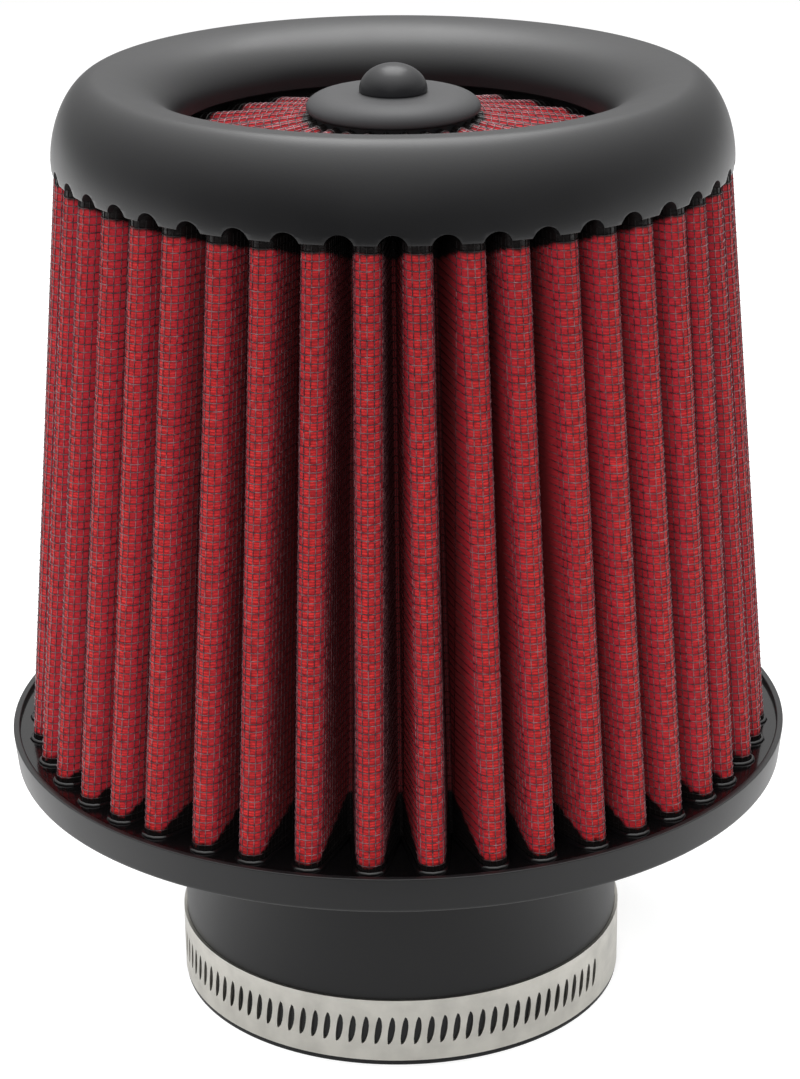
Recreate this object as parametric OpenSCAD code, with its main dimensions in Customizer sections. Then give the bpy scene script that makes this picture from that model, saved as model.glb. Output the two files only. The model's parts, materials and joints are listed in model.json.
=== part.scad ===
// Clamp-on cone air filter: a moulded rubber base with its pipe neck, a tapered
// pleated element, a cast top ring round a pleated top panel, and a worm-drive clamp.
// The neck's open end stands on Z = 0 and the pipe enters from below.

/* [Base] */
// Diameter of the intake pipe that the neck slides over
pipe_d = 76.2; // [60:0.1:82]
// Thickness of the neck's rubber wall
neck_wall = 5.5; // [4:0.1:7]
// Length of the neck below the flange
neck_h = 49.5; // [40:0.5:80]
// How far the pipe goes in before it meets the stop
pipe_depth = 44; // [30:0.5:46]
// Width of the stop that the pipe's end meets
stop_w = 1.6; // [0.8:0.1:3]
// Height of the stop ring above the pipe's end
stop_h = 2; // [1:0.5:4]
// Lead-in chamfer of the bore
bore_chamfer = 0.8; // [0.2:0.1:2]
// Height of the lip that keeps the clamp from slipping off the neck
neck_lip_h = 1; // [0.6:0.1:3]
// How far that lip stands out
neck_lip_w = 0.5; // [0.3:0.1:0.6]
// Fillet where the neck meets the flange
neck_fillet = 3; // [1:0.5:6]
// Outside diameter of the flange
flange_d = 152.4; // [150:0.2:170]
// Thickness of the flange at its edge
flange_h = 7.1; // [6:0.1:14]
// How much smaller the flange is at its lower edge
flange_draft = 0.6; // [0:0.1:2]
// Rounding of the flange's edges
flange_round = 1; // [0.3:0.1:2]
// Width of the rim round the potting
rim_w = 1.3; // [1:0.1:2.4]
// Width of the lip inside the potting
inner_lip_w = 2.2; // [1.2:0.1:3.5]
// Rubber left below the potting
channel_floor = 2.4; // [1.5:0.1:4]
// How far the potting lies below the rim
potting_drop = 1; // [0.3:0.1:2]
// Potting between the pleats and the inner lip
potting_gap = 2.2; // [1:0.1:4]

/* [Pleated element] */
// Number of pleats
pleats = 44; // [30:1:50]
// Potting between the rim and the pleats
crest_gap = 2.3; // [1.6:0.1:5]
// How much further in the pleats stand where they enter the top ring
pleat_lean = 9.7; // [6:0.1:14]
// Length of pleat that shows between base and top ring
pleat_h = 111.7; // [80:0.5:160]
// Depth of the pleats across the folded sheet
pleat_depth = 16.4; // [12:0.1:17]
// Thickness of the gauze and its two wire screens
media_t = 2; // [1.2:0.1:2.4]
// Width of a pleat over its outer fold
crest_w = 5.3; // [4.2:0.1:6]
// Radius of the inner folds, in the middle of the sheet
valley_r = 1.35; // [1.25:0.05:1.8]
// Potting left under the pleats' ends
foot_gap = 0.9; // [0.3:0.1:1.5]
// How far the pleats reach into the top ring
top_embed = 4; // [2:0.5:6]
// Unevenness of the hand-folded pleats, as a share of their pitch
wander = 0.08; // [0:0.01:0.12]
// How far the feet of the front pleats stand to the right of an even row, in the same share
foot_drift = 0.3; // [0:0.01:0.35]
// How far all the upper ends are turned to that side, in the same share
top_turn = 0.12; // [0:0.01:0.2]

/* [Top ring] */
// Height of the ring over the pleats
ring_h = 16.4; // [12:0.2:22]
// How far the ring swells past the pleats
ring_bulge = 0.4; // [0.2:0.05:1.5]
// Distance of the ring's crown, its highest line, from its outer edge
crown_in = 8.6; // [6:0.1:11]
// Gap between the pleats and the ring's skirt inside them
skirt_gap = 0.45; // [0.2:0.05:1]
// Height of the inner lip over the ring's lower edge
lip_h = 4.8; // [4.6:0.1:8]
// Thickness of the wall between the pleats and the panel
ring_wall = 1.2; // [0.8:0.1:1.5]
// Thickness of the ledge below the panel
ledge_t = 1.6; // [1:0.1:3]
// Width of the ledge below the panel
ledge_w = 2.4; // [1:0.1:4]
// Radius of the arched notches over the valleys
notch_r = 2.7; // [1.5:0.1:3]
// Rise of the notches over the ring's lower edge
notch_h = 1.9; // [1:0.1:2.2]

/* [Top panel] */
// Number of pleats in the panel
fan_pleats = 28; // [20:1:30]
// How far the pleats lie below the ring's lip at their outer ends
fan_drop = 1; // [0.5:0.1:3]
// Rise of the pleats from the ring to the centre cap
fan_rise = 4.8; // [2:0.1:8]
// Depth of the panel's pleats
fan_depth = 10.5; // [8:0.5:12]
// Thickness of the panel's folded sheet
fan_t = 1.3; // [0.8:0.1:1.4]
// Width of a pleat over its fold at the ring
fan_crest_w = 5.1; // [3.5:0.1:5.6]
// Turn of the first pleat about the axis
fan_phase = 9.8; // [0:0.1:12]

/* [Centre cap] */
// Diameter of the cap's disc
cap_d = 32.4; // [31.6:0.2:40]
// Thickness of the disc
cap_t = 3.75; // [3.2:0.05:6]
// Rounding of the disc's upper edge
cap_round = 2; // [0.5:0.1:2]
// Rounding of the disc's lower edge
cap_under_round = 1; // [0.2:0.1:1]
// Diameter of the hub that the pleats end on
hub_d = 30.4; // [29:0.2:31]
// Gap between the disc and the pleats below it
cap_gap = 0.2; // [0.1:0.1:1]
// Diameter of the domed plug
plug_d = 12.7; // [8:0.1:20]
// Height of the dome
plug_h = 5.3; // [3:0.1:8]
// Diameter of the plug's stem
stem_d = 6; // [3:0.1:7]
// Width of the barb that holds the plug
barb_w = 0.8; // [0.4:0.1:1.5]
// Height of the barb
barb_h = 2.4; // [1.5:0.1:4]

/* [Clamp] */
// Width of the clamp's band
band_w = 13; // [10:0.5:14]
// Thickness of the band
band_t = 0.6; // [0.4:0.05:0.8]
// Length of a slot along its own line
slot_l = 6; // [4:0.1:7]
// Width of a slot at its middle
slot_w = 1.3; // [0.8:0.05:1.5]
// Share of that width on the slot's fuller side
slot_fullness = 0.7; // [0.5:0.05:0.8]
// Lean of the slots from upright
slot_lean = 8; // [0:1:15]
// Distance between slots round the band
slot_pitch = 2.5; // [2.2:0.1:3.5]
// Length of band that carries slots, measured round the neck
slotted_l = 211; // [120:1:230]
// Length of the band's loose tail past the housing's middle
tail_l = 30; // [15:1:45]
// Width of the plain end of the tail
tail_plain = 6; // [4:0.5:10]
// Diameter of the worm
worm_d = 7.6; // [7.4:0.1:8.4]
// Length of the worm
worm_l = 13; // [10:0.5:16]
// Thickness of the housing's sheet
housing_t = 0.75; // [0.5:0.05:0.9]
// Width of the screw's hexagon head, across its flats
head_af = 8; // [7:0.1:8.4]
// Height of the head
head_h = 5.5; // [4:0.5:8]
// Diameter of the collar below the head
collar_d = 8.8; // [8:0.1:9]
// Width of the screwdriver slot
driver_w = 1.3; // [0.8:0.1:2]
// Depth of the screwdriver slot
driver_depth = 2.6; // [1:0.1:3.5]

/* [Fits] */
// Room between the band and the neck, and between the housing and the band
band_fit = 0.05; // [0.02:0.01:0.15]
// Room between the worm and what is round it
worm_fit = 0.25; // [0.15:0.05:0.5]
// Room round the screw's journals in the housing
journal_fit = 0.05; // [0.02:0.01:0.1]
// Room between the panel's sheet and what holds its ends
panel_fit = 0.05; // [0.02:0.01:0.1]
// Room round the plug's stem
stem_fit = 0.05; // [0.02:0.01:0.1]

/* [Hidden] */
$fn = 96;
eps = 0.01;

// Levels, from the neck's end up
bore_r = pipe_d / 2;
throat_r = bore_r - stop_w;
neck_r = bore_r + neck_wall;
flange_r = flange_d / 2;
flange_z = neck_h + flange_h;
potting_z = flange_z - potting_drop;
channel_z = neck_h + channel_floor;
media_z0 = channel_z + foot_gap;
ring_z = potting_z + pleat_h;
media_z1 = ring_z + top_embed;

// The folds of the element
channel_out_r = flange_r - rim_w;
crest_base_r = channel_out_r - crest_gap;
crest_top_r = crest_base_r - pleat_lean;
crest_r = crest_w / 2 - media_t / 2;
drift_mid = 2.5;
drift_span = 3.4;
channel_in_r = crest_base_r - pleat_depth - potting_gap;
mouth_r = channel_in_r - inner_lip_w;

// The top ring and what it holds
ring_r = crest_top_r + ring_bulge;
ring_foot_r = crest_top_r + ring_bulge / 2;
ring_foot_h = 1.6;
notch_in = 1.6;
brow_power = 1.82;
crown_r = ring_r - crown_in;
skirt_r = crest_top_r - pleat_depth - skirt_gap;
lip_r = skirt_r - ring_wall;
fan_z = ring_z + lip_h - fan_drop;
fan_hub_z = fan_z + fan_rise;
ledge_z = fan_z - fan_depth - panel_fit;
skirt_z = ledge_z - ledge_t;

// The panel's folds
fan_out_r = lip_r - panel_fit;
hub_r = hub_d / 2;
fan_in_r = hub_r + panel_fit;
fan_crest_r = fan_crest_w / 2 - fan_t / 2;
fan_tight_r = fan_in_r * PI / fan_pleats / 2 - 0.01;

// The cap and its plug
cap_r = cap_d / 2;
cap_z = fan_hub_z + cap_gap;
cap_top_z = cap_z + cap_t;
hub_below = 0.5;
barb_edge = 0.4;
hub_z = fan_hub_z - fan_depth - hub_below;
stem_r = stem_d / 2;
stem_hole_r = stem_r + stem_fit;

// The clamp, whose housing stands at the back of the neck
lip_gap = 0.1;
clamp_z = neck_lip_h + lip_gap + band_w / 2;
band_r = neck_r + band_fit;
saddle_r = band_r + band_t + band_fit;
outer_band_r = saddle_r + housing_t + band_fit;
worm_r = worm_d / 2;
screw_y = outer_band_r + band_t + worm_fit + worm_r;
housing_l = worm_l + 2 * worm_fit + 2 * housing_t;
housing_w = band_w + 2 * band_fit + 2 * housing_t;
dome_r = worm_r + worm_fit + housing_t;
shoulder_y = outer_band_r + band_t + band_fit + housing_t;
band_deg = 180 / PI / band_r;
tail_deg = tail_l * band_deg;
slot_deg = slot_pitch * band_deg;
slot_count = floor(slotted_l / slot_pitch);
slot_reach = 8;
button_r = 1.3;
button_z = band_w / 4;
ramp_deg = 14;
nose_r = 2.2;
journal_r = 2.6;
nose_out = 0.6;
collar_t = 1;
collar_gap = 0.1;

function unit(a) = [cos(a), sin(a)];
function turned(p, a) = [p.x * cos(a) - p.y * sin(a), p.x * sin(a) + p.y * cos(a)];

// A fixed, irregular share between -1 and 1 for fold k
function uneven(k) = 0.6 * sin(k * 137) + 0.4 * sin(k * 61 + 40);
function fold_angle(k, n, phase) =
    phase + (k + wander * uneven((k + n) % n)) * 360 / n;
function half_step(k, n) = (fold_angle(k + 1, n, 0) - fold_angle(k, n, 0)) / 2;

// Half of a fold from its crest to its trough: crest bend, flank and trough bend.
// The bends' centres are c and t, and off moves the line across the sheet.
function fold_half(c, t, rc, rt, lean, off) =
    let (v = t - c, tangent = atan2(v.y, v.x) - acos((rc + rt) / norm(v)))
    concat([for (i = [0:3]) c + (rc + off) * unit(tangent * i / 3)],
           [for (i = [0:2]) t - (rt - off) * unit(tangent + (lean - tangent) * i / 2)]);

// Both halves of a fold, joined at the crest, with the shared trough counted once
function mirrored(h) = [for (p = h) [p.x, -p.y]];
function whole_fold(before, after) =
    let (b = mirrored(before), n = len(b))
    concat([for (j = [n - 2:-1:1]) b[j]], after);

// Angle of the element's fold k, at its foot or at its upper end
function near_fold(k) = (k + pleats * 1.5) % pleats - pleats / 2;
function element_turn(k, foot) =
    foot ? foot_drift * exp(-pow((near_fold(k) - drift_mid) / drift_span, 4)) : top_turn;
function element_angle(k, foot) =
    fold_angle(k, pleats, 180 / pleats - 90) + element_turn(k, foot) * 360 / pleats;

// One loop of the element's sheet at a crest radius, offset across the sheet
function element_half(crest, half, off) =
    let (inner = crest - pleat_depth + valley_r + media_t / 2)
    fold_half([crest - crest_w / 2, 0], inner * unit(half), crest_r, valley_r, half, off);
function element_loop(crest, off, foot) =
    [for (k = [0:pleats - 1])
        let (a = element_angle(k, foot),
             half_a = (a - element_angle(k - 1, foot)) / 2, half_b = (element_angle(k + 1, foot) - a) / 2)
        each [for (p = whole_fold(element_half(crest, half_a, off), element_half(crest, half_b, off)))
                 turned(p, a)]];

// One loop of the panel's sheet on a cylinder of radius r
function fan_half(r, z, rc, rt, half, off) =
    let (width = r * half * PI / 180)
    fold_half([z - rc - fan_t / 2, 0], [z - fan_depth + rt + fan_t / 2, width], rc, rt, 0, off);
function fan_loop(r, z, rc, rt, off) =
    [for (k = [0:fan_pleats - 1])
        let (a = fold_angle(k, fan_pleats, fan_phase),
             before = fan_half(r, z, rc, rt, half_step(k - 1, fan_pleats), off),
             after = fan_half(r, z, rc, rt, half_step(k, fan_pleats), off))
        each [for (p = whole_fold(before, after))
                 let (turn = a + p.y / r * 180 / PI)
                 [r * cos(turn), r * sin(turn), p.x]]];

function at_height(loop, z) = [for (p = loop) [p.x, p.y, z]];

// Closed sheet through sections, each a pair of loops for its two faces
module sheet(sections) {
    n = len(sections[0][0]);
    last = len(sections) - 1;
    points = [for (s = sections) each concat(s[0], s[1])];
    faces = [
        for (s = [0:last - 1], i = [0:n - 1])
            let (j = (i + 1) % n, a = s * 2 * n, b = a + 2 * n, c = a + n, d = b + n)
            each [[a + i, b + i, b + j], [a + i, b + j, a + j],
                  [c + i, d + j, d + i], [c + i, c + j, d + j]],
        for (i = [0:n - 1])
            let (j = (i + 1) % n, b = last * 2 * n)
            each [[i, j, n + j], [i, n + j, n + i],
                  [b + i, b + n + i, b + n + j], [b + i, b + n + j, b + j]]
    ];
    polyhedron(points, faces, convexity = 20);
}

// Outline of the element's sheet at a crest radius, for the slots that hold it
module element_outline(crest, foot) {
    outer = element_loop(crest, media_t / 2, foot);
    inner = element_loop(crest, -media_t / 2, foot);
    n = len(outer);
    polygon(concat(outer, inner), [[for (i = [0:n - 1]) i], [for (i = [0:n - 1]) n + i]]);
}

function curve(c, rx, ry, from, to, n) =
    [for (i = [0:n]) let (a = from + (to - from) * i / n) [c.x + rx * cos(a), c.y + ry * sin(a)]];

// Quarter of a rounded outline that is a little sharper than an ellipse
function brow(c, rx, ry, power, n) =
    [for (i = [0:n])
        let (a = 90 * i / n) [c.x + rx * pow(cos(a), 2 / power), c.y + ry * pow(sin(a), 2 / power)]];

module base_flange() {
    low_r = flange_r - flange_draft;
    color([0.09, 0.09, 0.1])
    rotate_extrude()
    polygon(concat(
        [[bore_r + bore_chamfer, 0], [neck_r + neck_lip_w, 0],
         [neck_r + neck_lip_w, neck_lip_h], [neck_r, neck_lip_h]],
        curve([neck_r + neck_fillet, neck_h - neck_fillet], neck_fillet, neck_fillet, 180, 90, 6),
        curve([low_r - flange_round, neck_h + flange_round], flange_round, flange_round, -90, 0, 5),
        curve([flange_r - rim_w / 3, flange_z - rim_w / 3], rim_w / 3, rim_w / 3, 0, 90, 4),
        curve([channel_out_r + rim_w / 4, flange_z - rim_w / 4], rim_w / 4, rim_w / 4, 90, 180, 3),
        [[channel_out_r, channel_z], [channel_in_r, channel_z]],
        curve([channel_in_r - rim_w / 4, flange_z - rim_w / 4], rim_w / 4, rim_w / 4, 0, 90, 3),
        curve([mouth_r, pipe_depth + stop_h],
              mouth_r - throat_r, flange_z - pipe_depth - stop_h, 90, 180, 12),
        [[throat_r, pipe_depth], [bore_r, pipe_depth], [bore_r, bore_chamfer]]));
}

module base_potting() {
    color([0.05, 0.04, 0.05])
    difference() {
        translate([0, 0, channel_z])
        rotate_extrude()
        translate([channel_in_r, 0])
        square([channel_out_r - channel_in_r, potting_z - channel_z]);
        translate([0, 0, media_z0])
        linear_extrude(potting_z - media_z0 + 1)
        element_outline(crest_base_r, true);
    }
}

module pleated_media() {
    base = [for (side = [1, -1]) element_loop(crest_base_r, side * media_t / 2, true)];
    top = [for (side = [1, -1]) element_loop(crest_top_r, side * media_t / 2, false)];
    color([0.72, 0.16, 0.15])
    sheet([for (s = [[base, media_z0], [base, potting_z], [top, ring_z], [top, media_z1]])
               [at_height(s[0][0], s[1]), at_height(s[0][1], s[1])]]);
}

module top_ring() {
    color([0.12, 0.12, 0.13])
    difference() {
        translate([0, 0, ring_z])
        rotate_extrude()
        polygon(concat(
            curve([ring_foot_r, ring_foot_h], ring_r - ring_foot_r, ring_foot_h, -90, -20, 4),
            brow([crown_r, ring_foot_h], ring_r - crown_r, ring_h - ring_foot_h, brow_power, 14),
            [for (i = [1:12]) let (p = brow([0, 0], crown_r - lip_r, ring_h - lip_h, 2, 12)[12 - i])
                [crown_r - p.x, lip_h + p.y]],
            [[lip_r, ledge_z - ring_z], [lip_r - ledge_w, ledge_z - ring_z],
             [lip_r - ledge_w, skirt_z - ring_z], [skirt_r, skirt_z - ring_z], [skirt_r, 0]]));
        translate([0, 0, ring_z - 1])
        linear_extrude(top_embed + 1)
        element_outline(crest_top_r, false);
        for (k = [0:pleats - 1])
            rotate((element_angle(k, false) + element_angle(k + 1, false)) / 2)
            translate([skirt_r + notch_in, 0, ring_z + notch_h - notch_r])
            rotate([0, 90, 0])
            cylinder(r = notch_r, h = ring_r - skirt_r, $fn = 32);
    }
}

module top_pleats() {
    color([0.75, 0.2, 0.2])
    sheet([for (s = [[fan_out_r, fan_z, fan_crest_r], [fan_in_r, fan_hub_z, fan_tight_r]])
               [for (side = [1, -1]) fan_loop(s[0], s[1], s[2], s[2], side * fan_t / 2)]]);
}

module centre_cap() {
    color([0.3, 0.3, 0.31])
    rotate_extrude()
    polygon(concat(
        [[stem_hole_r, hub_z], [hub_r, hub_z], [hub_r, cap_z]],
        curve([cap_r - cap_under_round, cap_z + cap_under_round],
              cap_under_round, cap_under_round, -90, 0, 4),
        curve([cap_r - cap_round, cap_top_z - cap_round], cap_round, cap_round, 0, 90, 6),
        [[stem_hole_r, cap_top_z]]));
}

module centre_plug() {
    color([0.12, 0.12, 0.12])
    rotate_extrude()
    polygon(concat(
        [[0, hub_z - barb_h], [stem_r - barb_w / 2, hub_z - barb_h],
         [stem_r + barb_w, hub_z - stem_fit - barb_edge], [stem_r + barb_w, hub_z - stem_fit],
         [stem_r, hub_z - stem_fit], [stem_r, cap_top_z]],
        curve([0, cap_top_z], plug_d / 2, plug_h, 0, 90, 12)));
}

// One slot, cut along the radius: two half ellipses of its length, the fuller one ahead
module slot_cut() {
    full = slot_w * slot_fullness;
    flat = slot_w - full;
    rotate([90, 0, 90])
    linear_extrude(slot_reach)
    rotate(-slot_lean)
    polygon(concat(curve([0, 0], full, slot_l / 2, -90, 90, 8),
                   curve([0, 0], flat, slot_l / 2, 108, 252, 4)));
}

// Band angle, counted from the middle of the housing and clockwise from above
function clamp_angle(a) = 90 - a;

module band_arc(r, from, to) {
    translate([0, 0, clamp_z - band_w / 2])
    rotate(clamp_angle(to))
    rotate_extrude(angle = to - from)
    translate([r, 0])
    square([band_t, band_w]);
}

// The two buttons of the band's fixed end that lock into the housing's saddle
module lock_buttons(r) {
    for (side = [-1, 1])
        translate([0, band_r + band_t / 2, clamp_z + side * button_z])
        rotate([-90, 0, 0])
        cylinder(r = r, h = saddle_r + housing_t - band_r - band_t / 2, $fn = 32);
}

// The band steps up by a ramp, a little smaller all round than the arcs that hold its ends
module clamp_band() {
    skin = 0.02;
    ramp_from = 360 - housing_l / 2 * band_deg - ramp_deg - 4;
    ramp_to = ramp_from + ramp_deg;
    fixed_end = -housing_l / 2 * band_deg;
    steps = 10;
    function ramp_r(i) =
        band_r + (outer_band_r - band_r) * (1 - cos(180 * max(0, min(steps, i)) / steps)) / 2;
    function ramp_point(i, off) = (ramp_r(i) + off) * unit(clamp_angle(ramp_from + ramp_deg * i / steps));
    color([0.75, 0.75, 0.74])
    difference() {
        union() {
            band_arc(band_r, fixed_end, ramp_from);
            translate([0, 0, clamp_z - band_w / 2 + skin])
            linear_extrude(band_w - 2 * skin)
            polygon(concat([for (i = [-1:steps + 1]) ramp_point(i, skin)],
                           [for (i = [steps + 1:-1:-1]) ramp_point(i, band_t - skin)]));
            band_arc(outer_band_r, ramp_to, 360 + tail_deg);
            lock_buttons(button_r);
        }
        for (i = [0:slot_count - 1])
            rotate(clamp_angle(360 + tail_deg - tail_plain * band_deg - i * slot_deg))
            translate([band_r - slot_reach / 2, 0, clamp_z])
            slot_cut();
    }
}

module housing_outline(inset) {
    translate([screw_y, 0]) circle(dome_r - inset);
    translate([neck_r, -housing_w / 2 + inset]) square([shoulder_y - inset - neck_r, housing_w - 2 * inset]);
    translate([neck_r, -dome_r + inset]) square([screw_y - neck_r, 2 * (dome_r - inset)]);
}

module clamp_housing() {
    color([0.7, 0.7, 0.7])
    difference() {
        translate([-housing_l / 2, 0, clamp_z])
        rotate([90, 0, 90])
        linear_extrude(housing_l)
        housing_outline(0);
        translate([-housing_l / 2 + housing_t, 0, clamp_z])
        rotate([90, 0, 90])
        linear_extrude(housing_l - 2 * housing_t)
        housing_outline(housing_t);
        translate([0, 0, clamp_z - band_w / 2 - band_fit])
        rotate_extrude()
        translate([outer_band_r - band_fit, 0])
        square([band_t + 2 * band_fit, band_w + 2 * band_fit]);
        cylinder(r = saddle_r, h = 4 * clamp_z, center = true);
        translate([0, screw_y, clamp_z])
        rotate([0, -90, 0])
        cylinder(r = nose_r + journal_fit, h = housing_l);
        translate([0, screw_y, clamp_z])
        rotate([0, 90, 0])
        cylinder(r = journal_r + journal_fit, h = housing_l);
    }
    color([0.7, 0.7, 0.7])
    difference() {
        intersection() {
            translate([0, 0, clamp_z - housing_w / 2])
            rotate_extrude()
            translate([saddle_r, 0])
            square([housing_t, housing_w]);
            translate([-housing_l / 2, 0, 0])
            cube([housing_l, 2 * screw_y, 2 * clamp_z]);
        }
        lock_buttons(button_r + band_fit);
    }
}

module clamp_screw() {
    nose_x = -housing_l / 2 - nose_out;
    collar_x = housing_l / 2 + collar_gap;
    color([0.72, 0.72, 0.72])
    translate([0, screw_y, clamp_z])
    rotate([0, 90, 0])
    difference() {
        union() {
            translate([0, 0, nose_x]) cylinder(r = nose_r, h = -worm_l / 2 - nose_x + eps);
            translate([0, 0, -worm_l / 2]) cylinder(r = worm_r, h = worm_l);
            translate([0, 0, worm_l / 2 - eps]) cylinder(r = journal_r, h = collar_x - worm_l / 2 + 2 * eps);
            translate([0, 0, collar_x]) cylinder(d = collar_d, h = collar_t);
            translate([0, 0, collar_x + collar_t - eps])
            cylinder(d = head_af / cos(30), h = head_h, $fn = 6);
        }
        translate([-head_af, -driver_w / 2, collar_x + collar_t + head_h - driver_depth])
        cube([2 * head_af, driver_w, driver_depth + 1]);
    }
}

base_flange();
base_potting();
pleated_media();
top_ring();
top_pleats();
centre_cap();
centre_plug();
clamp_band();
clamp_housing();
clamp_screw();
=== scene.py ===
import json
import math
import bpy
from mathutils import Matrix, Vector

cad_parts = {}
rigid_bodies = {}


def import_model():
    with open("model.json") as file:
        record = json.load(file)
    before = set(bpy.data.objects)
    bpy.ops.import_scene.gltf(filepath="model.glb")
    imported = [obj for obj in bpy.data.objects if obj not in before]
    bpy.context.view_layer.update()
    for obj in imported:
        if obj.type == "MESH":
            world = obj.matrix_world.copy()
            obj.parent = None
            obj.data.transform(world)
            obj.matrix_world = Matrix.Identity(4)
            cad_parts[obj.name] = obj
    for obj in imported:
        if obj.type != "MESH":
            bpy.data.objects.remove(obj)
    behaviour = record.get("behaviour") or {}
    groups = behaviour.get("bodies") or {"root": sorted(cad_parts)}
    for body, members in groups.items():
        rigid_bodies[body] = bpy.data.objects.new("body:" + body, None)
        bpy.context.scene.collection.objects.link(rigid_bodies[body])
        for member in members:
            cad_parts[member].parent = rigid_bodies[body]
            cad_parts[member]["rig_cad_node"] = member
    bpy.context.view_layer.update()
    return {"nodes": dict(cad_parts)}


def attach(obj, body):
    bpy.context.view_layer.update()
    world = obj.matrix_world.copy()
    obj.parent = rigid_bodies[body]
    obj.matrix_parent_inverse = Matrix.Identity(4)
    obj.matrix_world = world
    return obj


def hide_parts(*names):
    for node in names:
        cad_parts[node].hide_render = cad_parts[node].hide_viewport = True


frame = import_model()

mm = 0.001
weld = 0.002 * mm
turnedCrease = 35
sheetCrease = 50


# Small helpers for working as by hand

def deselectAll():
    if bpy.context.mode != "OBJECT":
        bpy.ops.object.mode_set(mode="OBJECT")
    bpy.ops.object.select_all(action="DESELECT")


def pick(piece):
    deselectAll()
    piece.hide_viewport = False
    piece.select_set(True)
    bpy.context.view_layer.objects.active = piece


def edit(piece, level="VERT"):
    pick(piece)
    bpy.ops.object.mode_set(mode="EDIT")
    bpy.ops.mesh.select_mode(type=level)
    bpy.ops.mesh.select_all(action="DESELECT")


def leaveEdit():
    bpy.ops.object.mode_set(mode="OBJECT")


def selectMesh():
    bpy.ops.mesh.select_all(action="SELECT")


def activeObject():
    return bpy.context.view_layer.objects.active


def duplicateOf(piece):
    pick(piece)
    bpy.ops.object.duplicate()
    return activeObject()


def nameAs(piece, name):
    piece.name = name
    piece.data.name = name


# Selects vertices, edges or faces of the active mesh by a test, from edit mode
def chooseVerts(piece, test):
    bpy.ops.mesh.select_mode(type="VERT")
    bpy.ops.mesh.select_all(action="DESELECT")
    bpy.ops.object.mode_set(mode="OBJECT")
    for v in piece.data.vertices:
        v.select = test(v.co)
    bpy.ops.object.mode_set(mode="EDIT")


def chooseEdges(piece, test):
    bpy.ops.mesh.select_mode(type="EDGE")
    bpy.ops.mesh.select_all(action="DESELECT")
    bpy.ops.object.mode_set(mode="OBJECT")
    points = piece.data.vertices
    count = 0
    for e in piece.data.edges:
        e.select = test(points[e.vertices[0]].co, points[e.vertices[1]].co)
        count += e.select
    bpy.ops.object.mode_set(mode="EDIT")
    return count


def chooseFaces(piece, test):
    bpy.ops.mesh.select_mode(type="FACE")
    bpy.ops.mesh.select_all(action="DESELECT")
    bpy.ops.object.mode_set(mode="OBJECT")
    for p in piece.data.polygons:
        p.select = test(p.center, p.normal)
    bpy.ops.object.mode_set(mode="EDIT")


# Moves a sheet's surface in along its normals
def sinkSurface(piece, depth):
    edit(piece)
    selectMesh()
    bpy.ops.transform.shrink_fatten(value=-depth)
    leaveEdit()


def splitEdges(piece, test, cuts):
    edit(piece, "EDGE")
    chooseEdges(piece, test)
    bpy.ops.mesh.subdivide(number_cuts=cuts)
    leaveEdit()


def radiusOf(p):
    return math.hypot(p.x, p.y)


# A free copy of a CAD node, with its loose triangles joined
def copyOfNode(node, name):
    piece = duplicateOf(frame["nodes"][node])
    piece.parent = None
    nameAs(piece, name)
    del piece["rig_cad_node"]
    if piece.data.has_custom_normals:
        bpy.ops.mesh.customdata_custom_splitnormals_clear()
    edit(piece)
    selectMesh()
    bpy.ops.mesh.remove_doubles(threshold=weld)
    leaveEdit()
    return piece


def finishPiece(piece, material, body, slot, *nodes):
    piece.data.materials.clear()
    piece.data.materials.append(material)
    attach(piece, body)
    if nodes:
        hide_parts(*nodes)


def smooth(piece, degrees):
    pick(piece)
    bpy.ops.object.shade_smooth_by_angle(angle=math.radians(degrees))


def cutWith(piece, tool, operation):
    pick(piece)
    step = piece.modifiers.new("cut", "BOOLEAN")
    step.operation = operation
    step.object = tool
    step.solver = "EXACT"
    bpy.ops.object.modifier_apply(modifier="cut")
    bpy.data.objects.remove(tool)


def roundEdges(piece, width, degrees):
    pick(piece)
    step = piece.modifiers.new("edges", "BEVEL")
    step.width = width * mm
    step.segments = 2
    step.limit_method = "ANGLE"
    step.angle_limit = math.radians(degrees)
    bpy.ops.object.modifier_apply(modifier="edges")


# Materials

def shaderOf(name, color, roughness, metallic=0.0, specular=0.5):
    material = bpy.data.materials.new(name)
    material.use_nodes = True
    nodes = material.node_tree.nodes
    shader = nodes["Principled BSDF"]
    shader.inputs["Base Color"].default_value = (*color, 1)
    shader.inputs["Roughness"].default_value = roughness
    shader.inputs["Metallic"].default_value = metallic
    shader.inputs["Specular IOR Level"].default_value = specular
    return material, material.node_tree, shader


def addNode(tree, kind, **settings):
    node = tree.nodes.new(kind)
    for key, value in settings.items():
        setattr(node, key, value)
    return node


def objectCoords(tree, scale=(1, 1, 1)):
    coords = addNode(tree, "ShaderNodeTexCoord")
    mapping = addNode(tree, "ShaderNodeMapping")
    mapping.inputs["Scale"].default_value = scale
    tree.links.new(coords.outputs["Object"], mapping.inputs["Vector"])
    return mapping.outputs["Vector"]


def objectSplit(tree):
    split = addNode(tree, "ShaderNodeSeparateXYZ")
    tree.links.new(objectCoords(tree), split.inputs[0])
    return split.outputs


# Distance from the filter's axis
def radiusFrom(tree):
    span = addNode(tree, "ShaderNodeVectorMath", operation="LENGTH")
    tree.links.new(objectCoords(tree, (1, 1, 0)), span.inputs[0])
    return span.outputs["Value"]


def noise(tree, vector, scale, detail=3.0, rough=0.5):
    node = addNode(tree, "ShaderNodeTexNoise")
    node.inputs["Scale"].default_value = scale
    node.inputs["Detail"].default_value = detail
    node.inputs["Roughness"].default_value = rough
    tree.links.new(vector, node.inputs["Vector"])
    return node.outputs["Fac"]


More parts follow.
